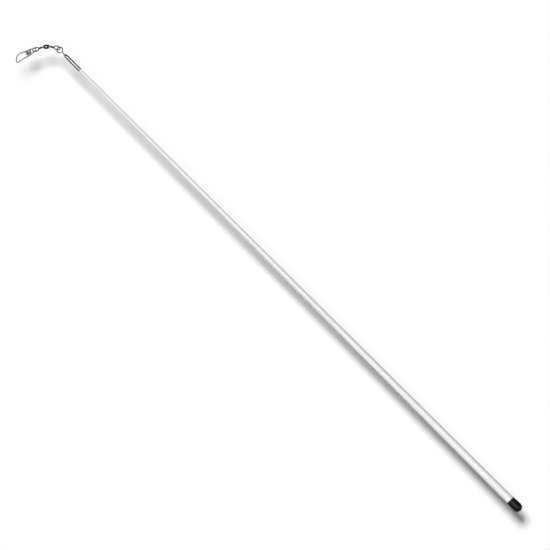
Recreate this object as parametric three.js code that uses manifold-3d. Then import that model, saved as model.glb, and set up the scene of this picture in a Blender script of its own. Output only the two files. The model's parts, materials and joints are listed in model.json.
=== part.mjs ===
// A slim tapered wand with a push-on butt cap. Its tip carries a metal ferrule with an eye,
// a barrel swivel linked into that eye, and a spring-wire snap linked to the swivel.
// Millimetres, +Z up. The wand lies along X, its butt at -X and its tip at +X, and the swivel
// and snap are laid out in a gentle arc in the horizontal plane.

import * as THREE from 'three';
import { mergeVertices } from 'three/addons/utils/BufferGeometryUtils.js';
import Module from 'manifold-3d';

const wasm = await Module();
wasm.setup();

const deg = THREE.MathUtils.degToRad;

// ---- Driving dimensions. The ferrule's mouth is x = 0 until the whole wand is centred. ----

const rodVisible = 520.2;         // from the cap's mouth to the ferrule's mouth
const rodButtRadius = 3.675;
const rodTipRadius = 1.28;
const rodInCap = 9.8;
const rodInFerrule = 12.4;
const rodChamfer = 0.35;

const capLength = 12.7;
const capRadius = 4.2;
const capMouthRadius = 3.83;
const capBoreRadius = 3.72;
const capEndGap = 0.3;            // air between the rod's end and the bottom of the bore

const ferruleLength = 18.9;
const ferruleRadius = 1.55;
const ferruleBoreRadius = 1.33;
const ferruleShoulder = 16.8;     // where the tube starts to draw down to its nose
const noseStart = 18.3;
const noseRadius = 1.05;
const noseEndRadius = 0.75;
const noseEndRounding = 0.1;
const noseHoleRadius = 0.5;

const eyeCentreX = 24.44;
const eyeRingRadius = 2.4;        // to the middle of the wire
const eyeWireRadius = 0.45;
const eyeHeadRadius = 0.85;
const eyeHeadLength = 0.8;
const eyeRingStart = 192;         // degrees round the ring, where the shank runs into it
const eyeRingEnd = 517;

const barrelCentre = new THREE.Vector2(34.64, 6.25);
const barrelAngle = 49.6;         // degrees from the rod's axis
const barrelHalfLength = 3.0;
const barrelRadius = 1.95;
const barrelEndRadius = 0.98;
const barrelFullness = 0.8;       // under 1 fills the barrel out towards its ends
const barrelWall = 0.35;
const barrelHoleRadius = 0.6;
const barrelHoleAt = barrelHalfLength - barrelWall / 2;

const swivelWireRadius = 0.425;
const swivelShankRadius = 0.45;
const swivelHeadRadius = 0.78;
const swivelNeckRadius = 0.8;
const loopFarEnd = 9.15;          // from the barrel's hole to the middle of the loop's far wire
const loopHalfLength = 2.65;
const loopHalfWidth = 2.2;
const rodSideEyeAngle = 33.9;
const rodSideEyeTurn = 47;        // how far the loop's plane is turned out of the horizontal
const snapSideEyeAngle = 63.9;
const snapSideEyeTurn = -45;

const snapOrigin = new THREE.Vector2(39.54, 13.5);
const snapAngle = 74.5;
const snapWireRadius = 0.4;
const smallEyeRadius = 1.31;      // to the middle of the wire
const plateStart = 5.9;           // on the plain leg; over the crimped end it starts at crimpStart
const plateEnd = 10.3;
const crimpStart = 3.9;
const plateThickness = 0.25;
const plateInside = 0.43;         // half the gap between the folded plate's two layers
const crimpEnd = 8.3;
const seamY = 0.2;                // where the sheet's two edges meet on the upper side
const seamWidth = 0.16;
const armPivot = new THREE.Vector2(17.6, 2.35);
const armGap = 0.3;

const roundSides = 24;
const wireSides = 8;

// ---- Shapes ----

/** A solid of revolution about X. Its profile is a list of [x, radius]. */
function turned(profile, closed = false) {
  const points = profile.map(([x, radius]) => new THREE.Vector2(radius, x));
  if (closed) points.push(points[0].clone());
  const flatSideDown = Math.PI / roundSides;
  const geometry = new THREE.LatheGeometry(points, roundSides, flatSideDown, 2 * Math.PI);
  return geometry.rotateZ(-Math.PI / 2);
}

/** A round wire along a curve. */
function wireAlong(curve, radius, steps) {
  const section = new THREE.Shape();
  for (let side = 0; side < wireSides; side++) {
    const angle = (2 * Math.PI * (side + 0.5)) / wireSides;
    const across = radius * Math.cos(angle);
    const up = radius * Math.sin(angle);
    if (side === 0) section.moveTo(across, up);
    else section.lineTo(across, up);
  }
  section.closePath();
  return new THREE.ExtrudeGeometry(section, { extrudePath: curve, steps });
}

/** A wire bent from straight lengths: corners are [x, y, bend], bend being the length rounded off. */
function bentPath(corners) {
  const path = new THREE.CurvePath();
  const at = corners.map(([x, y]) => new THREE.Vector3(x, y, 0));
  let from = at[0];
  for (let i = 1; i < at.length - 1; i++) {
    const bend = corners[i][2];
    const before = at[i].clone().add(at[i - 1].clone().sub(at[i]).setLength(bend));
    const after = at[i].clone().add(at[i + 1].clone().sub(at[i]).setLength(bend));
    path.add(new THREE.LineCurve3(from, before));
    path.add(new THREE.QuadraticBezierCurve3(before, at[i], after));
    from = after;
  }
  path.add(new THREE.LineCurve3(from, at[at.length - 1]));
  return path;
}

/** Part of a circle in the XY plane, as a curve. */
class ArcCurve3 extends THREE.Curve {
  constructor(centreX, centreY, radius, startAngle, endAngle) {
    super();
    Object.assign(this, { centreX, centreY, radius, startAngle, endAngle });
  }

  getPoint(t, target = new THREE.Vector3()) {
    const angle = deg(THREE.MathUtils.lerp(this.startAngle, this.endAngle, t));
    const x = this.centreX + this.radius * Math.cos(angle);
    return target.set(x, this.centreY + this.radius * Math.sin(angle), 0);
  }
}

function solid(geometry) {
  const bare = geometry.clone();
  bare.deleteAttribute('normal');
  bare.deleteAttribute('uv');
  const merged = mergeVertices(bare, 1e-5);
  const vertProperties = new Float32Array(merged.attributes.position.array);
  const triVerts = new Uint32Array(merged.index.array);
  return new wasm.Manifold(new wasm.Mesh({ numProp: 3, vertProperties, triVerts }));
}

function geometryOf(body) {
  const mesh = body.getMesh();
  const geometry = new THREE.BufferGeometry();
  geometry.setAttribute('position', new THREE.BufferAttribute(mesh.vertProperties, 3));
  geometry.setIndex(new THREE.BufferAttribute(mesh.triVerts, 1));
  geometry.computeVertexNormals();
  return geometry;
}

function joined(...geometries) {
  return geometryOf(geometries.map(solid).reduce((whole, piece) => whole.add(piece)));
}

function cut(geometry, tool) {
  return geometryOf(solid(geometry).subtract(solid(tool)));
}

// ---- Materials ----

const fibreglass = new THREE.MeshStandardMaterial({ color: 0xf1f1ef, roughness: 0.3, metalness: 0 });
const blackRubber = new THREE.MeshStandardMaterial({ color: 0x1d1d1c, roughness: 0.55, metalness: 0 });
const brightNickel = new THREE.MeshStandardMaterial({ color: 0xcfd0d0, roughness: 0.15, metalness: 1 });
const steelWire = new THREE.MeshStandardMaterial({ color: 0xb9bab8, roughness: 0.25, metalness: 1 });
const blackNickel = new THREE.MeshStandardMaterial({ color: 0x3c3c3b, roughness: 0.2, metalness: 1 });
const darkBrass = new THREE.MeshStandardMaterial({ color: 0x8a7a74, roughness: 0.35, metalness: 1 });

// ---- The wand ----

/** Solid fibreglass rod, straight inside the cap and tapering to the tip. */
function rod() {
  const buttEnd = -rodVisible - rodInCap;
  return turned([
    [buttEnd, 0],
    [buttEnd, rodButtRadius - rodChamfer],
    [buttEnd + rodChamfer, rodButtRadius],
    [-rodVisible, rodButtRadius],
    [0, rodTipRadius],
    [rodInFerrule - rodChamfer, rodTipRadius],
    [rodInFerrule, rodTipRadius - rodChamfer],
    [rodInFerrule, 0],
  ]);
}

/** Push-on cap: a blind bore, a slightly swollen wall and a domed end. */
function buttCap() {
  const mouth = -rodVisible;
  const domeCentre = mouth - capLength + capRadius;
  const domeSteps = 8;
  const profile = [];
  for (let step = 0; step <= domeSteps; step++) {
    const angle = (Math.PI / 2) * (step / domeSteps);
    profile.push([domeCentre - capRadius * Math.cos(angle), capRadius * Math.sin(angle)]);
  }
  const swellEnd = domeCentre + 2;
  const swellMiddle = (swellEnd + mouth) / 2;
  const swellShare = 0.62;        // of the swell that is left at its middle
  const lip = 0.25;
  const lipRounding = 0.03;
  profile.push(
    [swellEnd, capRadius],
    [swellMiddle, THREE.MathUtils.lerp(capMouthRadius, capRadius, swellShare)],
    [mouth - lip, capMouthRadius + 0.02],
    [mouth, capMouthRadius - lipRounding],
    [mouth, capBoreRadius],
    [mouth - rodInCap - capEndGap, capBoreRadius],
    [mouth - rodInCap - capEndGap, 0],
  );
  return turned(profile);
}

/** Drawn metal tube over the rod's tip, with a nose closed down round the eye's shank. */
function tipFerrule() {
  const wall = ferruleRadius - ferruleBoreRadius;
  const mouthRounding = 0.06;
  return turned([
    [0, ferruleBoreRadius],
    [0, ferruleRadius - mouthRounding],
    [2 * mouthRounding, ferruleRadius],
    [ferruleShoulder, ferruleRadius],
    [ferruleShoulder + 0.4, ferruleRadius - 0.08],
    [noseStart, noseRadius],
    [ferruleLength - 1.5 * noseEndRounding, noseEndRadius + noseEndRounding],
    [ferruleLength, noseEndRadius],
    [ferruleLength, noseHoleRadius],
    [noseStart - wall, noseHoleRadius],
    [ferruleShoulder - wall, ferruleBoreRadius],
  ], true);
}

/** One wire: a headed shank held in the ferrule's nose, bent round into a ring. */
function tipEye() {
  const ringPoint = new ArcCurve3(eyeCentreX, 0, eyeRingRadius, eyeRingStart, eyeRingEnd);
  const intoRing = ringPoint.getPoint(0);
  const headMiddle = ferruleShoulder;
  const shankEnd = new THREE.Vector3(intoRing.x - eyeWireRadius * 1.7, 0, 0);
  const kink = new THREE.Vector3(intoRing.x - 0.11, 0, 0);
  const path = new THREE.CurvePath();
  path.add(new THREE.LineCurve3(new THREE.Vector3(headMiddle, 0, 0), shankEnd));
  path.add(new THREE.QuadraticBezierCurve3(shankEnd, kink, intoRing));
  path.add(ringPoint);
  const headStart = headMiddle - 0.5;
  const headEnd = headStart + eyeHeadLength;
  const headChamfer = 0.2;
  const head = turned([
    [headStart, 0],
    [headStart, eyeHeadRadius - headChamfer],
    [headStart + headChamfer, eyeHeadRadius],
    [headEnd, eyeHeadRadius],
    [headEnd, 0],
  ]);
  return joined(wireAlong(path, eyeWireRadius, 90), head);
}

// ---- The barrel swivel ----

/** Hollow barrel with a hole in each end, about X. */
function swivelBarrel() {
  const stations = 10;
  const holeEdge = 0.05;
  const outside = [];
  const inside = [];
  for (let i = 0; i <= stations; i++) {
    const along = -1 + (2 * i) / stations;
    const bulge = Math.pow(Math.cos((along * Math.PI) / 2), barrelFullness);
    const radius = barrelEndRadius + (barrelRadius - barrelEndRadius) * bulge;
    outside.push([along * barrelHalfLength, radius]);
    const innerRadius = Math.max(radius - barrelWall, barrelHoleRadius + holeEdge);
    inside.unshift([along * (barrelHalfLength - barrelWall), innerRadius]);
  }
  return turned([
    [-barrelHalfLength, barrelHoleRadius],
    ...outside,
    [barrelHalfLength, barrelHoleRadius],
    [barrelHalfLength - barrelWall, barrelHoleRadius],
    ...inside,
    [-barrelHalfLength + barrelWall, barrelHoleRadius],
  ], true);
}

/** A headed shank, a twisted neck and a wire loop, along +X from the barrel's hole. */
function swivelEye(turn) {
  const headStart = -1.4;
  const headEnd = -0.9;
  const headEdge = 0.2;
  const neckStart = 0.75;
  const neckEnd = 3.6;
  const stemEnd = neckEnd + 0.3;
  const waists = 3;
  const waistDepth = 0.12;
  const neckSteps = waists * 4;
  const profile = [
    [headStart, 0],
    [headStart, swivelHeadRadius - 0.25],
    [headStart + headEdge, swivelHeadRadius],
    [headEnd, swivelHeadRadius],
    [headEnd + headEdge, swivelShankRadius],
    [neckStart - headEdge, swivelShankRadius],
  ];
  for (let i = 0; i <= neckSteps; i++) {
    const radius = swivelNeckRadius - 0.06 - waistDepth * Math.cos((i * Math.PI) / 2);
    profile.push([THREE.MathUtils.lerp(neckStart, neckEnd, i / neckSteps), radius]);
  }
  profile.push([stemEnd, swivelWireRadius], [stemEnd, 0]);
  const stem = turned(profile);

  const loopCentre = loopFarEnd - loopHalfLength;
  const side = [new THREE.Vector3(2.8, 0.44, 0), new THREE.Vector3(3.6, 0.66, 0)];
  for (let angle = 140; angle > 0; angle -= 20) {
    const x = loopCentre + loopHalfLength * Math.cos(deg(angle));
    side.push(new THREE.Vector3(x, loopHalfWidth * Math.sin(deg(angle)), 0));
  }
  const otherSide = side.map((p) => new THREE.Vector3(p.x, -p.y, 0)).reverse();
  const path = new THREE.CatmullRomCurve3([...side, new THREE.Vector3(loopFarEnd, 0, 0), ...otherSide]);
  const loop = wireAlong(path, swivelWireRadius, 56).rotateX(deg(turn));
  return joined(stem, loop);
}

// ---- The snap. +X runs from its small eye to its big loop; its gate is on the -Y side. ----

const plainLeg = [[plateStart, 1.75], [plateEnd, 2.15]];
const crimpedLeg = [[crimpStart, -1.57], [crimpEnd, -2.12]];

/** Crimped end, small eye, and the plain leg as far as the gate's bend. */
function snapWire() {
  const [[legX, legY], [legEndX, legEndY]] = plainLeg;
  const [[crimpX, crimpY], [crimpTipX, crimpTipY]] = crimpedLeg;
  const eyeX = snapWireRadius + smallEyeRadius;
  const path = new THREE.CurvePath();
  const eyeTop = new THREE.Vector3(eyeX, -smallEyeRadius, 0);
  const eyeBottom = new THREE.Vector3(eyeX, smallEyeRadius, 0);
  const crimp = new THREE.Vector3(crimpX, crimpY, 0);
  const leg = new THREE.Vector3(legX, legY, 0);
  const legEnd = new THREE.Vector3(legEndX, legEndY, 0);
  const stop = new THREE.Vector3(armPivot.x - armGap / 2, armPivot.y, 0);
  path.add(new THREE.LineCurve3(new THREE.Vector3(crimpTipX - 0.2, crimpTipY, 0), crimp));
  path.add(new THREE.LineCurve3(crimp, eyeTop));
  path.add(new ArcCurve3(eyeX, 0, smallEyeRadius, 270, 90));
  path.add(new THREE.LineCurve3(eyeBottom, leg));
  path.add(new THREE.LineCurve3(leg, legEnd));
  path.add(new THREE.LineCurve3(legEnd, stop));
  return wireAlong(path, snapWireRadius, 60);
}

/** The gate: corner, slanted far side, sweeping arm and the tip that tucks into the plate. */
function snapFreeArm() {
  const path = bentPath([
    [armPivot.x + armGap / 2, armPivot.y, 0],
    [20.15, 2.5, 1.25],
    [20.1, 1.0, 0.3],
    [18.2, -2.05, 1.3],
    [15.2, -3.3, 1.6],
    [11.0, -2.95, 1.2],
    [9.35, -2.6, 0.5],
    [9.15, -2.0, 0],
  ]);
  return wireAlong(path, snapWireRadius, 64);
}

/** Sheet folded over the plain leg and crimped over the wire's end, open where the gate's tip
 * tucks in. Its two edges meet at a seam along the middle of the upper side. */
function snapPlate() {
  const [[legX, legY], [, legEndY]] = plainLeg;
  const [[crimpX, crimpY], [crimpTipX, crimpTipY]] = crimpedLeg;
  const outline = new THREE.Shape();
  outline.moveTo(legX, legY);
  outline.lineTo(plateEnd, legEndY);
  outline.quadraticCurveTo(plateEnd - 1.3, -0.4, plateEnd - 0.15, -3.05);
  outline.lineTo(crimpTipX + 0.35, crimpTipY - 0.75);
  outline.lineTo(crimpTipX, crimpTipY);
  outline.lineTo(crimpX, crimpY);
  outline.closePath();
  const layer = () => new THREE.ExtrudeGeometry(outline, {
    depth: plateThickness,
    bevelEnabled: false,
    curveSegments: 10,
  });
  const top = layer().translate(0, 0, plateInside);
  const bottom = layer().translate(0, 0, -plateInside - plateThickness);
  const seam = new THREE.BoxGeometry(2 * plateEnd, seamWidth, plateThickness * 2);
  seam.translate(plateEnd, seamY, plateInside + plateThickness / 2);
  return cut(joined(top, bottom, fold(plainLeg, 1), fold(crimpedLeg, -1)), seam);
}

/** Half a tube along one edge of the plate, on the side that side points to (1 or -1 along Y). */
function fold([[startX, startY], [endX, endY]], side) {
  const inner = plateInside;
  const outer = plateInside + plateThickness;
  const arcSteps = 8;
  const section = new THREE.Shape();
  const arc = [];
  for (let i = 0; i <= arcSteps; i++) {
    const angle = -Math.PI / 2 + (Math.PI * i) / arcSteps;
    arc.push([Math.cos(angle), Math.sin(angle)]);
  }
  const root = -0.02;
  section.moveTo(side * root, -outer);
  arc.forEach(([c, s]) => section.lineTo(side * outer * c, outer * s));
  section.lineTo(side * root, outer);
  section.lineTo(side * root, inner);
  arc.reverse().forEach(([c, s]) => section.lineTo(side * inner * c, inner * s));
  section.lineTo(side * root, -inner);
  section.closePath();
  const length = Math.hypot(endX - startX, endY - startY);
  const geometry = new THREE.ExtrudeGeometry(section, { depth: length, bevelEnabled: false });
  geometry.rotateX(Math.PI / 2).rotateZ(Math.PI / 2);
  geometry.rotateZ(Math.atan2(endY - startY, endX - startX));
  return geometry.translate(startX, startY, 0);
}

// ---- The assembly ----

function named(name, geometry, material) {
  const mesh = new THREE.Mesh(geometry, material);
  mesh.name = name;
  return mesh;
}

function placed(at, angle, ...children) {
  const group = new THREE.Group();
  group.position.set(at.x, at.y, 0);
  group.rotation.z = deg(angle);
  group.add(...children);
  return group;
}

const alongBarrel = new THREE.Vector2(Math.cos(deg(barrelAngle)), Math.sin(deg(barrelAngle)));
const rodSideHole = barrelCentre.clone().addScaledVector(alongBarrel, -barrelHoleAt);
const snapSideHole = barrelCentre.clone().addScaledVector(alongBarrel, barrelHoleAt);

const wand = new THREE.Group();
wand.add(
  named('rod', rod(), fibreglass),
  named('butt_cap', buttCap(), blackRubber),
  named('tip_ferrule', tipFerrule(), brightNickel),
  named('tip_eye', tipEye(), brightNickel),
  placed(rodSideHole, rodSideEyeAngle + 180,
    named('swivel_eye_rod_side', swivelEye(rodSideEyeTurn), blackNickel)),
  placed(barrelCentre, barrelAngle, named('swivel_barrel', swivelBarrel(), blackNickel)),
  placed(snapSideHole, snapSideEyeAngle,
    named('swivel_eye_snap_side', swivelEye(snapSideEyeTurn), blackNickel)),
  placed(snapOrigin, snapAngle,
    named('snap_wire', snapWire(), steelWire),
    named('snap_free_arm', snapFreeArm(), steelWire),
    named('snap_plate', snapPlate(), darkBrass)),
);

// The origin is under the middle of the whole wand, on the surface that it lies on.
const group = new THREE.Group();
group.add(wand);
group.updateMatrixWorld(true);
const vertexByVertex = true;
const box = new THREE.Box3().setFromObject(wand, vertexByVertex);
wand.position.set(-(box.min.x + box.max.x) / 2, -(box.min.y + box.max.y) / 2, -box.min.z);

export default group;
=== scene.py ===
"""The looks of a swivel wand: a white tapered rod, a black butt cap, and at its tip a ferrule with an
eye, a barrel swivel and a wire snap. Small parts are drawn in millimetres in their own frame, with X
along the part, and a matrix puts them where the CAD model has them, in metres."""

import json
import math

import bmesh
import bpy
from mathutils import Matrix, Vector


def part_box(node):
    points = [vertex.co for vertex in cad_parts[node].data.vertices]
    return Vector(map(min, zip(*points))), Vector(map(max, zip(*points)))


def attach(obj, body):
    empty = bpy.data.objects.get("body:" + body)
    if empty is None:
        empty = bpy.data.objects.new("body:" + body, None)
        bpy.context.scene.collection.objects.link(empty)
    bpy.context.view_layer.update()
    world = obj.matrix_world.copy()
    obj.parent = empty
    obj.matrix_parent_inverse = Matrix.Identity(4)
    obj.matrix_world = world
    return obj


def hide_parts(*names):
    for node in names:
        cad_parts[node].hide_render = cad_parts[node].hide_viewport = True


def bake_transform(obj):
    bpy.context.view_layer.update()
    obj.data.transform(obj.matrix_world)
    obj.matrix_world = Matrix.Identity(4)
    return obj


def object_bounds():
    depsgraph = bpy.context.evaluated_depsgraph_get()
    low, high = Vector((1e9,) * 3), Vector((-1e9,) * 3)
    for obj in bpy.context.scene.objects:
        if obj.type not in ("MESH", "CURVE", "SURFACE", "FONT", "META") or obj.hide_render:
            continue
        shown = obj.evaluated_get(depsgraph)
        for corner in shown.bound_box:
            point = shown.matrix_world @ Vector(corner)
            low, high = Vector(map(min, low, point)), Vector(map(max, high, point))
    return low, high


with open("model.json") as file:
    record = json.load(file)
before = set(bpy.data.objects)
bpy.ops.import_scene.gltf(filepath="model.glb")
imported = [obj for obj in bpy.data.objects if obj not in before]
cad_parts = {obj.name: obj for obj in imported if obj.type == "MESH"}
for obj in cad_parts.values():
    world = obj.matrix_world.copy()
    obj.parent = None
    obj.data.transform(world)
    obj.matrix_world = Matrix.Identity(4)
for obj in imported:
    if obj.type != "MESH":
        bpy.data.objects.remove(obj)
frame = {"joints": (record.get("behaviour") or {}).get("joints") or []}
cad_low, cad_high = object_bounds()

MM = 0.001                    # one millimetre in metres
joints = {joint["name"]: joint for joint in frame["joints"]}


# ---- Where things are ----

def middle(node):
    low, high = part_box(node)
    return (low + high) / 2


def joint_at(name):
    return Vector(joints[name]["pos_m"])


def placement(origin, angle):
    """From a part's own frame, in mm, to the row frame, in metres."""
    return Matrix.Translation(origin) @ Matrix.Rotation(angle, 4, "Z") @ Matrix.Scale(MM, 4)


def heading(vector):
    return math.atan2(vector[1], vector[0])


rod_low, rod_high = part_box("rod")
cap_low, cap_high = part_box("butt_cap")
ferrule_low, ferrule_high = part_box("tip_ferrule")
axis = middle("butt_cap")
ferrule_mouth = Vector((ferrule_low.x, axis.y, axis.z))
wand_place = placement(ferrule_mouth, 0)

barrel_angle = heading(joint_at("snap_side_spin") - joint_at("barrel_spin"))
barrel_place = placement(middle("swivel_barrel"), barrel_angle)
rod_side_eye_place = placement(joint_at("barrel_spin"), heading(joints["barrel_spin"]["axis"]) + math.pi)
snap_side_eye_place = placement(joint_at("snap_side_spin"), heading(joints["snap_side_spin"]["axis"]))

gate_pivot = Vector((17.6, 2.35, 0))     # in the snap's own frame
snap_angle = math.radians(74.5)
snap_turned = Matrix.Rotation(snap_angle, 3, "Z")
snap_place = placement(joint_at("snap_open") - MM * (snap_turned @ gate_pivot), snap_angle)


# ---- Mesh tools ----

def piece(name, vertices, faces, look, place):
    """A smooth-shaded object with its normals facing out, its place in its mesh."""
    smooth_up_to = math.radians(50)
    mesh = bpy.data.meshes.new(name)
    mesh.from_pydata([place @ Vector(v) for v in vertices], [], faces)
    mesh.update()
    tidy = bmesh.new()
    tidy.from_mesh(mesh)
    bmesh.ops.recalc_face_normals(tidy, faces=tidy.faces)
    tidy.to_mesh(mesh)
    tidy.free()
    mesh.shade_smooth()
    mesh.set_sharp_from_angle(angle=smooth_up_to)
    made = bpy.data.objects.new(name, mesh)
    bpy.context.scene.collection.objects.link(made)
    made.data.materials.append(look)
    return made


def rounded(corners, steps=6):
    """An outline from corners (x, y, fillet). A curve that starts fillet before a corner rounds it."""
    outline = []
    last = len(corners) - 1
    for i, (x, y, fillet) in enumerate(corners):
        here = Vector((x, y))
        if fillet == 0 or i in (0, last):
            outline.append(here)
            continue
        before = here + (Vector(corners[i - 1][:2]) - here).normalized() * fillet
        after = here + (Vector(corners[i + 1][:2]) - here).normalized() * fillet
        for step in range(steps + 1):
            t = step / steps
            outline.append(before * (1 - t) ** 2 + here * 2 * t * (1 - t) + after * t * t)
    return outline


def turned(name, profile, look, place, sides=96, closed=False, shape=None):
    """A solid of revolution about X. A profile point on the axis becomes one vertex. shape gives what is
    added to the radius at (x, angle)."""
    on_axis = 1e-6
    vertices = []
    rings = []
    for x, radius in profile:
        if radius < on_axis:
            rings.append([len(vertices)])
            vertices.append((x, 0, 0))
            continue
        rings.append(list(range(len(vertices), len(vertices) + sides)))
        for k in range(sides):
            around = 2 * math.pi * k / sides
            r = radius + (shape(x, around) if shape else 0)
            vertices.append((x, r * math.cos(around), r * math.sin(around)))
    faces = []
    pairs = list(zip(rings, rings[1:]))
    if closed:
        pairs.append((rings[-1], rings[0]))
    for a, b in pairs:
        for k in range(sides):
            n = (k + 1) % sides
            if len(a) == 1:
                faces.append((a[0], b[n], b[k]))
            elif len(b) == 1:
                faces.append((a[k], a[n], b[0]))
            else:
                faces.append((a[k], a[n], b[n], b[k]))
    return piece(name, vertices, faces, look, place)


def swept(name, line, radius, look, place, sides=28):
    """A round wire along a line of points, with domed ends. Each vertex keeps its place on the wire."""
    dome_angles = (1.45, 1.1, 0.75, 0.35)
    line = [Vector(p) for p in line]
    tangents = []
    for i in range(len(line)):
        tangents.append((line[min(i + 1, len(line) - 1)] - line[max(i - 1, 0)]).normalized())
    side = tangents[0].orthogonal().normalized()
    rings = []
    travelled = 0.0
    for i, point in enumerate(line):
        if i:
            travelled += (point - line[i - 1]).length
            side = (side - tangents[i] * side.dot(tangents[i])).normalized()
        rings.append((point, side.copy(), tangents[i].cross(side), radius, travelled))
    dome = [(math.sin(a), math.cos(a)) for a in dome_angles]
    start = [shifted(rings[0], -tangents[0], high, wide) for high, wide in dome]
    end = [shifted(rings[-1], tangents[-1], high, wide) for high, wide in reversed(dome)]
    rings = start + rings + end
    vertices = []
    places = []
    for centre, across, up, r, along in rings:
        for k in range(sides):
            around = 2 * math.pi * k / sides
            vertices.append(centre + across * (r * math.cos(around)) + up * (r * math.sin(around)))
            places.append((along, r * math.cos(around), r * math.sin(around)))
    faces = []
    for i in range(len(rings) - 1):
        for k in range(sides):
            n = (k + 1) % sides
            a, b = i * sides, (i + 1) * sides
            faces.append((a + k, a + n, b + n, b + k))
    faces.append(tuple(reversed(range(sides))))
    faces.append(tuple(range((len(rings) - 1) * sides, len(rings) * sides)))
    made = piece(name, vertices, faces, look, place)
    stored = made.data.attributes.new("wire_place", "FLOAT_VECTOR", "POINT")
    for item, value in zip(stored.data, places):
        item.vector = value
    return made


def shifted(ring, direction, high, wide):
    """A ring of a wire's domed end."""
    centre, across, up, r, along = ring
    flatness = 0.45
    return centre + direction * (r * flatness * high), across, up, r * wide, along


def bent(corners, steps=8):
    """Points along a wire bent from straight lengths, in its own plane: corners are (x, y, bend)."""
    outline = rounded(corners, steps)
    spacing = 0.25
    same_place = 1e-5
    points = []
    for a, b in zip(outline, outline[1:]):
        count = max(1, round((b - a).length / spacing))
        points += [a.lerp(b, k / count).to_3d() for k in range(count)]
    points.append(outline[-1].to_3d())
    return [p for i, p in enumerate(points) if i == 0 or (p - points[i - 1]).length > same_place]


def arc(centre_x, centre_y, radius, start, end, steps):
    """Points along part of a circle, angles in degrees."""
    points = []
    for step in range(steps + 1):
        angle = math.radians(start + (end - start) * step / steps)
        x = centre_x + radius * math.cos(angle)
        points.append(Vector((x, centre_y + radius * math.sin(angle), 0)))
    return points


# ---- Materials ----

def new_material(name):
    look = bpy.data.materials.new(name)
    look.use_nodes = True
    nodes = look.node_tree.nodes
    return look, nodes, look.node_tree.links, nodes["Principled BSDF"]


def placed_noise(nodes, links, stretch, scale, detail=4.0, on_wire=False):
    """Noise in the piece's own frame, in cycles per mm, stretched along X or along the wire."""
    if on_wire:
        source = nodes.new("ShaderNodeAttribute")
        source.attribute_name = "wire_place"
        vector = source.outputs["Vector"]
        unit = 1.0
    else:
        source = nodes.new("ShaderNodeTexCoord")
        vector = source.outputs["Object"]
        unit = 1.0 / MM
    mapping = nodes.new("ShaderNodeMapping")
    mapping.inputs["Scale"].default_value = (unit * stretch, unit, unit)
    links.new(vector, mapping.inputs["Vector"])
    noise = nodes.new("ShaderNodeTexNoise")
    noise.inputs["Scale"].default_value = scale
    noise.inputs["Detail"].default_value = detail
    links.new(mapping.outputs["Vector"], noise.inputs["Vector"])
    return noise.outputs["Fac"]


def spread(nodes, links, source, low, high):
    """Maps the noise's middle range to values from low to high."""
    ranged = nodes.new("ShaderNodeMapRange")
    ranged.inputs["From Min"].default_value = 0.3
    ranged.inputs["From Max"].default_value = 0.7
    ranged.inputs["To Min"].default_value = low
    ranged.inputs["To Max"].default_value = high
    links.new(source, ranged.inputs["Value"])
    return ranged.outputs["Result"]


def tinted(nodes, links, source, dark, light):
    """Maps the noise to colours from dark to light."""
    ramp = nodes.new("ShaderNodeValToRGB")
    ramp.color_ramp.elements[0].position = 0.35
    ramp.color_ramp.elements[0].color = (*dark, 1)
    ramp.color_ramp.elements[1].position = 0.65
    ramp.color_ramp.elements[1].color = (*light, 1)
    links.new(source, ramp.inputs["Fac"])
    return ramp.outputs["Color"]


def bumped(nodes, links, shader, source, height):
    """Raises the surface where the noise is high, height in mm."""
    bump = nodes.new("ShaderNodeBump")
    bump.inputs["Strength"].default_value = 1.0
    bump.inputs["Distance"].default_value = height * MM
    links.new(source, bump.inputs["Height"])
    links.new(bump.outputs["Normal"], shader.inputs["Normal"])


def white_gel_coat():
    """Glossy white over glass fibre, with the faintest lengthwise fibre lines."""
    look, nodes, links, shader = new_material("white_fibreglass")
    mottle = placed_noise(nodes, links, stretch=0.04, scale=0.35)
    white = tinted(nodes, links, mottle, dark=(0.74, 0.74, 0.735), light=(0.79, 0.79, 0.785))
    links.new(white, shader.inputs["Base Color"])
    fibres = placed_noise(nodes, links, stretch=0.02, scale=2.2, detail=6.0)
    links.new(spread(nodes, links, fibres, low=0.26, high=0.38), shader.inputs["Roughness"])
    bumped(nodes, links, shader, fibres, height=0.012)
    shader.inputs["Coat Weight"].default_value = 0.5
    shader.inputs["Coat Roughness"].default_value = 0.12
    shader.inputs["IOR"].default_value = 1.5
    return look


def black_vinyl():
    """Dipped vinyl: near black, satin, with a fine pebble and a few dusty patches."""
    look, nodes, links, shader = new_material("black_rubber")
    dust = placed_noise(nodes, links, stretch=1.0, scale=0.45, detail=5.0)
    black = tinted(nodes, links, dust, dark=(0.004, 0.004, 0.004), light=(0.009, 0.009, 0.008))
    links.new(black, shader.inputs["Base Color"])
    links.new(spread(nodes, links, dust, low=0.34, high=0.46), shader.inputs["Roughness"])
    pebble = placed_noise(nodes, links, stretch=1.0, scale=6.0, detail=3.0)
    bumped(nodes, links, shader, pebble, height=0.02)
    shader.inputs["IOR"].default_value = 1.5
    return look


def metal(name, dark, light, roughness, lines, on_wire=False):
    """Plated or drawn metal: tone, polish and fine lines all vary along the piece. roughness is its
    lowest and highest, and lines is the fine lines' stretch, their scale and their height in mm."""
    look, nodes, links, shader = new_material(name)
    shader.inputs["Metallic"].default_value = 1.0
    patches = placed_noise(nodes, links, stretch=1.0, scale=0.7, on_wire=on_wire)
    links.new(tinted(nodes, links, patches, dark, light), shader.inputs["Base Color"])
    stretch, scale, height = lines
    drawn = placed_noise(nodes, links, stretch, scale, detail=6.0, on_wire=on_wire)
    links.new(spread(nodes, links, drawn, *roughness), shader.inputs["Roughness"])
    bumped(nodes, links, shader, drawn, height)
    return look


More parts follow.
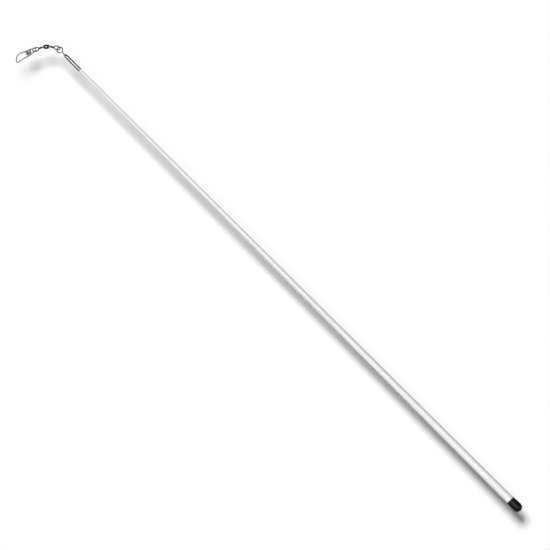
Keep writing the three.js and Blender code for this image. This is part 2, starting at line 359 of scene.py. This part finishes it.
gel_coat = white_gel_coat()
vinyl = black_vinyl()
bright_nickel = metal(
    "bright_nickel", dark=(0.66, 0.66, 0.65), light=(0.76, 0.76, 0.75),
    roughness=(0.10, 0.24), lines=(0.05, 5.0, 0.004))
eye_nickel = metal(
    "bright_nickel_wire", dark=(0.15, 0.15, 0.148), light=(0.25, 0.25, 0.246),
    roughness=(0.12, 0.26), lines=(0.08, 5.0, 0.004), on_wire=True)
spring_steel = metal(
    "steel_wire", dark=(0.17, 0.17, 0.167), light=(0.27, 0.27, 0.265),
    roughness=(0.18, 0.34), lines=(0.05, 6.0, 0.006), on_wire=True)
black_nickel = metal(
    "black_nickel", dark=(0.54, 0.54, 0.53), light=(0.68, 0.68, 0.67),
    roughness=(0.08, 0.17), lines=(0.3, 4.0, 0.004))
black_nickel_wire = metal(
    "black_nickel_wire", dark=(0.05, 0.05, 0.048), light=(0.11, 0.11, 0.107),
    roughness=(0.15, 0.3), lines=(0.1, 5.0, 0.006), on_wire=True)
plate_metal = metal(
    "snap_plate", dark=(0.10, 0.080, 0.076), light=(0.58, 0.495, 0.475),
    roughness=(0.22, 0.38), lines=(0.15, 4.0, 0.006))


# ---- The wand ----

def make_rod():
    """Straight inside the cap, an even taper to the tip, rounded edges at both ends."""
    over_flats = 1.004            # the CAD rod has flat sides, and its height is taken across two of them
    butt_radius = (rod_high.z - rod_low.z) / 2 / MM * over_flats
    tip_radius = 1.28
    butt_edge, tip_edge = 0.35, 0.3
    butt = (rod_low.x - ferrule_mouth.x) / MM
    tip = (rod_high.x - ferrule_mouth.x) / MM
    cap_mouth = (cap_high.x - ferrule_mouth.x) / MM
    profile = rounded([(butt, 0, 0), (butt, butt_radius, butt_edge), (cap_mouth, butt_radius, 0)])
    stations = 80
    for i in range(1, stations + 1):
        along = i / stations
        profile.append(Vector((cap_mouth * (1 - along), butt_radius + (tip_radius - butt_radius) * along)))
    profile += rounded([(0.2, tip_radius, 0), (tip, tip_radius, tip_edge), (tip, 0, 0)])
    made = turned("rod_skin", profile, gel_coat, wand_place)
    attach(made, "wand")
    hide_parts("rod")


def make_cap():
    """Swollen wall, domed end, a soft lip round the mouth, and a faint moulding line on each side."""
    radius = (cap_high.z - cap_low.z) / 2 / MM
    mouth = (cap_high.x - ferrule_mouth.x) / MM
    end = (cap_low.x - ferrule_mouth.x) / MM
    mouth_radius = 3.83
    bore_radius = 3.72
    air_past_rod = 0.3
    bore_end = (rod_low.x - ferrule_mouth.x) / MM - air_past_rod
    dome_centre = end + radius
    dome_steps = 28
    profile = []
    for step in range(dome_steps + 1):
        angle = math.pi / 2 * step / dome_steps
        profile.append(Vector((dome_centre - radius * math.cos(angle), radius * math.sin(angle))))
    wall_steps = 24
    wall_end = mouth - 0.12
    for step in range(1, wall_steps):
        t = step / wall_steps
        swell = math.cos(t * math.pi / 2) ** 1.3
        x = dome_centre + (wall_end - dome_centre) * t
        profile.append(Vector((x, mouth_radius + (radius - mouth_radius) * swell)))
    profile += rounded([(wall_end, mouth_radius, 0), (mouth, mouth_radius, 0.055),
                        (mouth, bore_radius, 0.045), (mouth - 0.2, bore_radius, 0)])
    profile += [Vector((bore_end, bore_radius)), Vector((bore_end, 0))]

    line_depth = 0.05
    line_half_width = math.radians(2.5)

    def moulding_line(x, around):
        distance = min(abs(math.sin(around / 2)), abs(math.cos(around / 2))) / math.sin(line_half_width)
        outside = x < mouth - 0.05
        return -line_depth * max(0.0, 1 - distance) if outside else 0.0

    made = turned("butt_cap_moulding", profile, vinyl, wand_place, 144, shape=moulding_line)
    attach(made, "wand")
    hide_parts("butt_cap")


def make_ferrule():
    """Drawn tube with a rolled mouth, and a shoulder closed down to the nose in two swaging steps."""
    radius = (ferrule_high.z - ferrule_low.z) / 2 / MM
    length = (ferrule_high.x - ferrule_low.x) / MM
    bore = 1.33
    shoulder = 16.8
    nose_start = 18.3
    nose_radius = 1.05
    nose_end_radius = 0.75
    hole = 0.5
    wall = radius - bore
    groove = 0.75                 # the shallow groove behind the rolled mouth
    outline = rounded([
        (0.3, bore, 0), (0, bore, 0.08), (0, radius, 0.1), (groove - 0.15, radius, 0.1),
        (groove, radius - 0.03, 0.06), (groove + 0.2, radius, 0.06),
        (shoulder, radius, 0.3), (shoulder + 0.4, radius - 0.08, 0.2), (nose_start, nose_radius, 0.25),
        (length - 0.15, nose_end_radius + 0.1, 0.1), (length, nose_end_radius, 0.1), (length, hole, 0.08),
        (nose_start - wall, hole, 0.2), (shoulder - wall, bore, 0.3), (1.0, bore, 0),
    ])
    made = turned("tip_ferrule_tube", outline, bright_nickel, wand_place, closed=True)
    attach(made, "wand")
    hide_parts("tip_ferrule")


def make_tip_eye():
    """The eye's one wire: shank out of the nose, a kink, and round into a ring that stops short of itself."""
    centre = (joint_at("link_swing").x - ferrule_mouth.x) / MM
    ring_radius = 2.4
    ring_start, ring_end = 192, 517           # degrees
    wire = 0.45
    head_start, head_end, head_radius = 16.3, 17.1, 0.85
    ring = arc(centre, 0, ring_radius, ring_start, ring_end, 72)
    shank_end = ring[0].x - wire * 1.7
    kink = ring[0].x - 0.11
    neck = bent([(head_start + 0.5, 0, 0), (shank_end, 0, 0)])
    start = Vector((shank_end, 0))
    corner = Vector((kink, 0))
    into = ring[0].to_2d()
    turn = []
    turn_steps = 11
    for step in range(1, turn_steps):
        t = step / turn_steps
        turn.append((start * (1 - t) ** 2 + corner * 2 * t * (1 - t) + into * t * t).to_3d())
    made = swept("tip_eye_wire", neck + turn + ring, wire, eye_nickel, wand_place)
    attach(made, "wand")
    outline = rounded([(head_start, 0, 0), (head_start, head_radius, 0.2),
                       (head_end, head_radius, 0.1), (head_end, 0, 0)])
    head = turned("tip_eye_head", outline, bright_nickel, wand_place, 48)
    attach(head, "wand")
    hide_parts("tip_eye")


# ---- The barrel swivel ----

def make_barrel():
    """Hollow barrel, bellied in the middle, with a small bead round each end hole."""
    half = 3.0
    belly = 1.95
    end_radius = 0.98
    fullness = 0.8                # under 1 fills the barrel out towards its ends
    wall = 0.35
    hole = 0.6
    hole_edge = 0.05
    bead = 0.14
    same_place = 1e-4
    steps = 40
    outside = []
    inside = []
    for i in range(steps + 1):
        along = -1 + 2 * i / steps
        radius = end_radius + (belly - end_radius) * math.cos(along * math.pi / 2) ** fullness
        outside.append(Vector((along * (half - bead), radius)))
        inside.append(Vector((along * (half - wall), max(radius - wall, hole + hole_edge))))
    right_lip = rounded([(half - bead, end_radius, 0), (half, end_radius, 0.13), (half, hole, 0.1),
                         (half - wall, hole, hole_edge), (half - wall, hole + hole_edge, 0)])
    left_lip = [Vector((-p.x, p.y)) for p in reversed(right_lip)]
    profile = [*outside, *right_lip, *reversed(inside), *left_lip]
    profile = [p for i, p in enumerate(profile) if (p - profile[i - 1]).length > same_place]
    made = turned("swivel_barrel_shell", profile, black_nickel, barrel_place, closed=True)
    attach(made, "barrel")
    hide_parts("swivel_barrel")


def make_swivel_eye(name, node, body, place, loop_tilt):
    """One wire: a headed shank, half of a twist, the loop, and the other half of the twist back. The
    loop's plane is turned loop_tilt degrees about the shank."""
    wire = 0.42
    apart = 0.43                  # from the twist's middle to the middle of each strand
    twist_start = 0.9
    neck_end = 3.6
    turns = 1.5
    far_end = 9.15
    loop_half_length = 2.65
    loop_half_width = 2.2

    def strand(x, side):
        angle = side * math.pi / 2 + 2 * math.pi * turns * (neck_end - x) / (neck_end - twist_start)
        return Vector((x, apart * math.cos(angle), apart * math.sin(angle)))

    twist_steps = 44
    twist = [twist_start + (neck_end - twist_start) * i / twist_steps for i in range(twist_steps + 1)]
    out = [strand(x, 0) for x in twist]
    back = [strand(x, 2) for x in reversed(twist)]
    shank = [Vector((x, 0, 0)) for x in (-0.9, -0.5, 0.0, 0.35)]
    centre = far_end - loop_half_length
    side = [Vector((3.85, 0.52, 0))]
    for degrees in range(140, -1, -20):
        angle = math.radians(degrees)
        x = centre + loop_half_length * math.cos(angle)
        side.append(Vector((x, loop_half_width * math.sin(angle), 0)))
    other_side = [Vector((p.x, -p.y, 0)) for p in reversed(side[:-1])]
    guide = [out[-2], out[-1], *side, *other_side, back[0], back[1]]
    line = shank + smooth_through([shank[-2], shank[-1], out[0], out[1]], 6)[1:-1]
    line += out[:-1] + smooth_through(guide, 6) + back[1:]
    tilt = Matrix.Rotation(math.radians(loop_tilt), 4, "X")
    made = swept(name, line, wire, black_nickel_wire, place @ tilt)
    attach(made, body)
    head_start, head_end, head_radius = -1.4, -0.9, 0.78
    outline = rounded([(head_start, 0, 0), (head_start, head_radius, 0.3), (head_end, head_radius, 0.15),
                       (head_end + 0.2, 0.4, 0.1), (head_end + 0.2, 0, 0)])
    head = turned(name + "_head", outline, black_nickel, place, 48)
    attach(head, body)
    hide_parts(node)


def smooth_through(points, steps):
    """A smooth curve through the points between the first and the last, which only steer it."""
    made = []
    for before, a, b, after in zip(points, points[1:], points[2:], points[3:]):
        for step in range(steps):
            t = step / steps
            made.append(0.5 * (2 * a + (b - before) * t + (2 * before - 5 * a + 4 * b - after) * t * t
                               + (3 * a - before - 3 * b + after) * t ** 3))
    made.append(points[-2].copy())
    return made


# ---- The snap ----

SNAP_WIRE = 0.4
SMALL_EYE = 1.31
PLATE_START, PLATE_END = 5.9, 10.3            # on the plain leg
CRIMP_START, CRIMP_END = 3.9, 8.3             # the crimped end's straight length
PLATE_OVER_CRIMP = 4.2                        # where the plate starts over the crimped end
LEG_START_Y, LEG_END_Y = 1.75, 2.15           # the plain leg's middle at PLATE_START and PLATE_END
CRIMP_START_Y, CRIMP_END_Y = -1.57, -2.12     # the crimped wire's middle at CRIMP_START and CRIMP_END


def crimp_y(x):
    """The crimped wire's distance across the snap."""
    return CRIMP_START_Y + (CRIMP_END_Y - CRIMP_START_Y) * (x - CRIMP_START) / (CRIMP_END - CRIMP_START)


def leg_y(x):
    """The plain leg's distance across the snap, inside the plate."""
    return LEG_START_Y + (LEG_END_Y - LEG_START_Y) * (x - PLATE_START) / (PLATE_END - PLATE_START)


def held(t):
    """t, kept between 0 and 1."""
    return min(max(t, 0), 1)


def make_snap_wires():
    """The snap's wire in two lengths that meet inside the plate; the second is the gate, which on the real
    snap bends as it opens.
    """
    eye_x = SNAP_WIRE + SMALL_EYE
    crimped_tip = CRIMP_END - 0.2
    split = 8.0
    next_start = split + 0.3      # the two lengths' domed ends meet between these two places
    crimped = bent([(crimped_tip, crimp_y(crimped_tip), 0), (CRIMP_START, crimp_y(CRIMP_START), 0.6),
                    (eye_x, -SMALL_EYE, 0)])
    small_eye = arc(eye_x, 0, SMALL_EYE, 270, 90, 30)
    leg = bent([(eye_x, SMALL_EYE, 0), (PLATE_START, leg_y(PLATE_START), 0.6), (split, leg_y(split), 0)])
    fixed = swept("snap_eye_wire", crimped[:-1] + small_eye + leg[1:], SNAP_WIRE, spring_steel,
                  snap_place)
    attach(fixed, "snap")
    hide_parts("snap_wire")

    gate = bent([
        (next_start, leg_y(next_start), 0), (PLATE_END, leg_y(PLATE_END), 0.6),
        (gate_pivot.x, gate_pivot.y, 0.8), (20.15, 2.5, 1.25), (20.1, 1.0, 0.3), (18.2, -2.05, 1.3),
        (15.2, -3.3, 1.6), (11.0, -2.95, 1.2), (9.35, -2.6, 0.5), (9.15, -2.0, 0),
    ], 12)
    moving = swept("snap_gate_wire", gate, SNAP_WIRE, spring_steel, snap_place)
    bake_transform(moving)
    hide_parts("snap_free_arm")


def make_plate():
    """Sheet folded over the plain leg and the crimped wire, pinched between them, with its two edges
    meeting along a seam on the upper side. Past the crimp its gate side is open."""
    thick = 0.25
    inside = 0.43                 # half the gap between the two layers
    fold = inside + thick / 2
    seam, seam_gap = 0.2, 0.08
    upper_pinch, under_pinch = 0.32, 0.14
    end_width = 5.2               # across the plate's end
    row_steps = 34
    rows = [i / row_steps for i in range(row_steps + 1)]

    def start_x(y):
        """Where the plate starts, on a slant from the plain leg to the crimped wire."""
        across = held((LEG_START_Y - y) / (LEG_START_Y - CRIMP_START_Y))
        return PLATE_START + (PLATE_OVER_CRIMP - PLATE_START) * across

    def end_x(y):
        """Where the plate ends, on a curve that is hollow in its middle."""
        hollow, corner = 1.3, 0.15
        t = held((leg_y(PLATE_END) - y) / end_width)
        middle_x = PLATE_END - hollow
        return PLATE_END * (1 - t) ** 2 + middle_x * 2 * t * (1 - t) + (PLATE_END - corner) * t * t

    def gate_edge(x):
        """The plate's side over the crimped wire, and past it the wider hood over the gate's tip."""
        if x <= CRIMP_END:
            return crimp_y(x)
        wider, over_length = 0.62, 0.45
        opened = min((x - CRIMP_END) / over_length, 1)
        return crimp_y(x) - wider * opened * opened * (3 - 2 * opened)

    def pinch(y, depth):
        """How far the sheet is pressed in along the seam, between the two wires."""
        half_width = 0.7
        reach = max(0.0, 1 - abs(y - seam) / half_width)
        return depth * math.sin(reach * math.pi / 2) ** 2

    def camber(share, f):
        """How far each upper flap bulges between its fold and the seam."""
        height = 0.13
        return height * math.sin(math.pi * share) * math.sin(math.pi * f) ** 0.5

    def hood(x, y):
        """How far the upper layer is bent down over the gate's tip."""
        depth, edge_y = 0.34, -2.3
        return depth * held((x - CRIMP_END - 0.1) / 0.5) * held((edge_y - y) / 0.65)

    vertices = []
    columns = []

    def column(place_at):
        columns.append([len(vertices) + i for i in range(len(rows))])
        for f in rows:
            vertices.append(place_at(f))

    def flat(share, part):
        """Points of a flap or of the under side. x and y depend on each other, so they are found in turns."""
        def at(f):
            x = PLATE_START + f * (PLATE_END - PLATE_START)
            for _ in range(4):
                low, high = gate_edge(x), leg_y(x)
                if part == "gate flap":
                    y = (seam - seam_gap) + (low - seam + seam_gap) * share
                elif part == "leg flap":
                    y = high + (seam + seam_gap - high) * share
                else:
                    y = low + (high - low) * share
                x = start_x(y) + f * (end_x(y) - start_x(y))
            if part == "under":
                z = -fold + pinch(y, under_pinch)
            else:
                z = fold + camber(share, f) - pinch(y, upper_pinch) - hood(x, y)
            return (x, y, z)
        return at

    def round_wire(share, centre_of, side):
        """Points of the fold round one of the wires."""
        def at(f):
            y = centre_of(PLATE_START)
            x = start_x(y) + f * (end_x(y) - start_x(y))
            angle = math.pi * share
            return (x, centre_of(x) + side * fold * math.sin(angle), side * -fold * math.cos(angle))
        return at

    flap_steps, arc_steps, under_steps = 14, 12, 22
    for i in range(flap_steps + 1):
        column(flat(i / flap_steps, "gate flap"))
    crimp_from = len(columns) - 1
    for i in range(1, arc_steps):
        column(round_wire(i / arc_steps, gate_edge, -1))
    for i in range(under_steps + 1):
        column(flat(i / under_steps, "under"))
    crimp_to = crimp_from + arc_steps
    for i in range(1, arc_steps):
        column(round_wire(i / arc_steps, leg_y, 1))
    for i in range(flap_steps + 1):
        column(flat(i / flap_steps, "leg flap"))

    faces = []
    for c in range(len(columns) - 1):
        for r in range(len(rows) - 1):
            x = vertices[columns[c][r + 1]][0]
            if crimp_from <= c < crimp_to and x > CRIMP_END:
                continue
            faces.append((columns[c][r], columns[c][r + 1], columns[c + 1][r + 1], columns[c + 1][r]))
    made = piece("snap_lock_plate", vertices, faces, plate_metal, snap_place)
    sheet = made.modifiers.new("sheet", "SOLIDIFY")
    sheet.thickness = thick * MM
    sheet.offset = 0.0
    edges = made.modifiers.new("edges", "BEVEL")
    edges.width = 0.06 * MM
    edges.segments = 2
    edges.angle_limit = math.radians(55)
    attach(made, "snap")
    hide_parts("snap_plate")


make_rod()
make_cap()
make_ferrule()
make_tip_eye()
make_barrel()
make_swivel_eye("rod_side_eye_wire", "swivel_eye_rod_side", "rod_side_eye", rod_side_eye_place, 47)
make_swivel_eye("snap_side_eye_wire", "swivel_eye_snap_side", "snap_side_eye", snap_side_eye_place, -45)
make_snap_wires()
make_plate()


# ---- Floor, light and camera ----

def make_floor():
    """A white floor well below the wand. The camera sees it white, and the wand sees it dark, as it
    would with black cards round it, so that its polished parts have dark edges."""
    half = 30.0
    drop = 0.025                  # below the wand's lowest point
    white, dark_grey = 0.9, 0.04
    mesh = bpy.data.meshes.new("floor")
    corners = [(-half, -half), (half, -half), (half, half), (-half, half)]
    mesh.from_pydata([(x, y, cad_low.z - drop) for x, y in corners], [], [(0, 1, 2, 3)])
    floor = bpy.data.objects.new("floor", mesh)
    bpy.context.scene.collection.objects.link(floor)
    look, nodes, links, shader = new_material("floor")
    shader.inputs["Base Color"].default_value = (white, white, white, 1)
    shader.inputs["Roughness"].default_value = 1.0
    shader.inputs["Specular IOR Level"].default_value = 0.0
    dark = nodes.new("ShaderNodeBsdfDiffuse")
    dark.inputs["Color"].default_value = (dark_grey, dark_grey, dark_grey, 1)
    seen = nodes.new("ShaderNodeLightPath")
    mix = nodes.new("ShaderNodeMixShader")
    links.new(seen.outputs["Is Camera Ray"], mix.inputs[0])
    links.new(dark.outputs["BSDF"], mix.inputs[1])
    links.new(shader.outputs["BSDF"], mix.inputs[2])
    links.new(mix.outputs["Shader"], nodes["Material Output"].inputs["Surface"])
    floor.data.materials.append(look)
    return floor


def softbox(name, floor, elevation, azimuth, breadth, strength, floor_only):
    """A broad distant light, angles in degrees, that lights only the floor or everything but the floor."""
    light = bpy.data.lights.new(name, "SUN")
    light.energy = strength
    light.angle = math.radians(breadth)
    lamp = bpy.data.objects.new(name, light)
    bpy.context.scene.collection.objects.link(lamp)
    lamp.visible_glossy = False
    up, round_z = math.radians(elevation), math.radians(azimuth)
    towards = Vector((math.cos(round_z) * math.cos(up), math.sin(round_z) * math.cos(up), math.sin(up)))
    lamp.rotation_mode = "QUATERNION"
    lamp.rotation_quaternion = towards.to_track_quat("Z", "Y")
    lit = bpy.data.collections.new(name + "_receivers")
    lit.objects.link(floor)
    lit.collection_objects[0].light_linking.link_state = "INCLUDE" if floor_only else "EXCLUDE"
    lamp.light_linking.receiver_collection = lit


def make_room():
    """What polished parts reflect: one bright panel overhead, leaning a little to the snap's side, two
    soft cards low down at opposite corners, a grey wall on the snap's side, and otherwise the dark. The
    cards light no matt surface. The camera itself sees a white backdrop."""
    world = bpy.data.worlds.new("room")
    bpy.context.scene.world = world
    world.use_nodes = True
    nodes, links = world.node_tree.nodes, world.node_tree.links
    # The panel's brightness, by the cosine of the angle from its middle.
    panel = [(0.0, 0.002), (0.8, 0.012), (0.945, 0.03), (0.972, 0.4), (0.982, 3.6), (1.0, 4.2)]
    brightest = panel[-1][1]
    panel_narrowness = 0.85       # under 1 makes the panel longer along the rod
    lean = math.radians(2)
    side_grey = 0.07
    card_level = 0.9
    card_azimuth = math.radians(38)
    card_fade = (0.5, 0.85)       # from a card's edge to its full brightness, by the cosine squared
    matt_share = 0.68             # of the panel's light that falls on matt surfaces
    direction = nodes.new("ShaderNodeTexCoord").outputs["Generated"]

    def vector_math(operation, first, second=None):
        node = nodes.new("ShaderNodeVectorMath")
        node.operation = operation
        links.new(first, node.inputs[0])
        if second:
            node.inputs[1].default_value = second
        return node

    def mapped(source, start, stop, level):
        node = nodes.new("ShaderNodeMapRange")
        node.inputs["From Min"].default_value = start
        node.inputs["From Max"].default_value = stop
        node.inputs["To Max"].default_value = level / brightest
        links.new(source, node.inputs["Value"])
        return node.outputs["Result"]

    def number_math(operation, first, second):
        node = nodes.new("ShaderNodeMath")
        node.operation = operation
        links.new(first, node.inputs[0])
        links.new(second, node.inputs[1])
        return node.outputs["Value"]

    squeezed = vector_math("MULTIPLY", direction, (panel_narrowness, 1, 1)).outputs["Vector"]
    unit = vector_math("NORMALIZE", squeezed).outputs["Vector"]
    panel_middle = (0, math.sin(lean), math.cos(lean))
    nearness = vector_math("DOT_PRODUCT", unit, panel_middle).outputs["Value"]
    ramp = nodes.new("ShaderNodeValToRGB")
    while len(ramp.color_ramp.elements) < len(panel):
        ramp.color_ramp.elements.new(0.5)
    for element, (position, level) in zip(ramp.color_ramp.elements, panel):
        share = level / brightest
        element.position = position
        element.color = (share, share, share, 1)
    links.new(nearness, ramp.inputs["Fac"])
    split = nodes.new("ShaderNodeSeparateXYZ")
    links.new(direction, split.inputs["Vector"])
    grey = mapped(split.outputs["Y"], 0, 1, side_grey)
    towards_card = (math.cos(card_azimuth), math.sin(card_azimuth), 0)
    across = vector_math("DOT_PRODUCT", direction, towards_card).outputs["Value"]
    squared = number_math("MULTIPLY", across, across)
    cards = mapped(squared, *card_fade, card_level)
    seen = nodes.new("ShaderNodeLightPath")
    seen_cards = number_math("MULTIPLY", cards, seen.outputs["Is Glossy Ray"])
    lit = nodes["Background"]
    walls = number_math("ADD", grey, seen_cards)
    links.new(number_math("ADD", ramp.outputs["Color"], walls), lit.inputs["Color"])
    strength = nodes.new("ShaderNodeMapRange")
    strength.inputs["To Min"].default_value = brightest
    strength.inputs["To Max"].default_value = brightest * matt_share
    links.new(seen.outputs["Is Diffuse Ray"], strength.inputs["Value"])
    links.new(strength.outputs["Result"], lit.inputs["Strength"])
    backdrop = nodes.new("ShaderNodeBackground")
    backdrop.inputs["Color"].default_value = (1, 1, 1, 1)
    mix = nodes.new("ShaderNodeMixShader")
    links.new(seen.outputs["Is Camera Ray"], mix.inputs[0])
    links.new(lit.outputs["Background"], mix.inputs[1])
    links.new(backdrop.outputs["Background"], mix.inputs[2])
    links.new(mix.outputs["Shader"], nodes["World Output"].inputs["Surface"])


def make_camera():
    """Straight above the wand, turned so that the tip points up and to the left. It stands far off, so
    that the shadow on the lower floor isn't drawn smaller than the wand."""
    height = 10.0
    view_width = 0.4705
    tip_rise = math.radians(44.98)            # the angle at which the tip points up to the left
    along_shift, across_shift = 0.00114, -0.0087
    camera = bpy.data.cameras.new("camera")
    camera.sensor_width = 36.0
    camera.lens = camera.sensor_width * height / view_width
    camera.clip_end = 100.0
    seen = bpy.data.objects.new("camera", camera)
    bpy.context.scene.collection.objects.link(seen)
    bpy.context.scene.camera = seen
    right = Vector((-math.cos(tip_rise), -math.sin(tip_rise), 0))
    up = Vector((math.sin(tip_rise), -math.cos(tip_rise), 0))
    back = right.cross(up)
    turn = Matrix((right, up, back)).transposed().to_4x4()
    wand_middle = (cad_low + cad_high) / 2
    place = Vector((wand_middle.x + along_shift, wand_middle.y + across_shift, axis.z + height))
    seen.matrix_world = Matrix.Translation(place) @ turn


the_floor = make_floor()
softbox("key", the_floor, elevation=66.5, azimuth=-22, breadth=17.5, strength=3.22, floor_only=True)
softbox("left_fill", the_floor, elevation=45, azimuth=90, breadth=60, strength=2.5, floor_only=False)
softbox("right_fill", the_floor, elevation=45, azimuth=-90, breadth=60, strength=1.8, floor_only=False)
make_room()
make_camera()
bpy.context.scene.view_settings.view_transform = "Standard"
